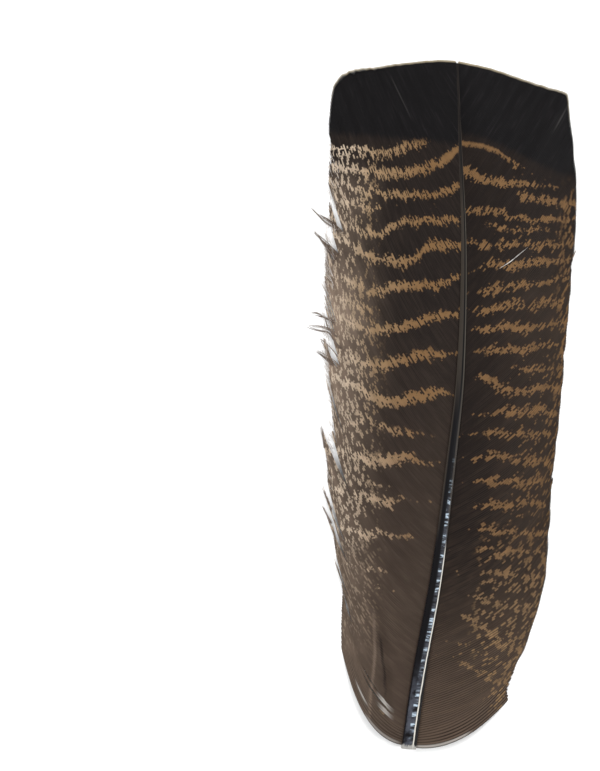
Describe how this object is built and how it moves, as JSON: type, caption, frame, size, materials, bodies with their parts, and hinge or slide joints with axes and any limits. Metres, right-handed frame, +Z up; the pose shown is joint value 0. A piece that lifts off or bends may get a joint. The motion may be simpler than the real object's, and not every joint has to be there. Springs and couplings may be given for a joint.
{
  "type": "turkey tail feather",
  "caption": "Cut length of a barred brown turkey tail feather with a broad black end, lying smooth side up on the edges of its vanes",
  "frame": {"origin": "middle of the bounding box in plan, on the surface that the feather lies on", "axes": "+Y along the shaft from the cut base to the tip, +X to the right seen from above, +Z up, away from the surface"},
  "size_m": [0.0764, 0.197, 0.0073],
  "materials": {
    "feather": "matte"
  },
  "bodies": {
    "root": {"feather": "feather"}
  },
  "joints": []
}
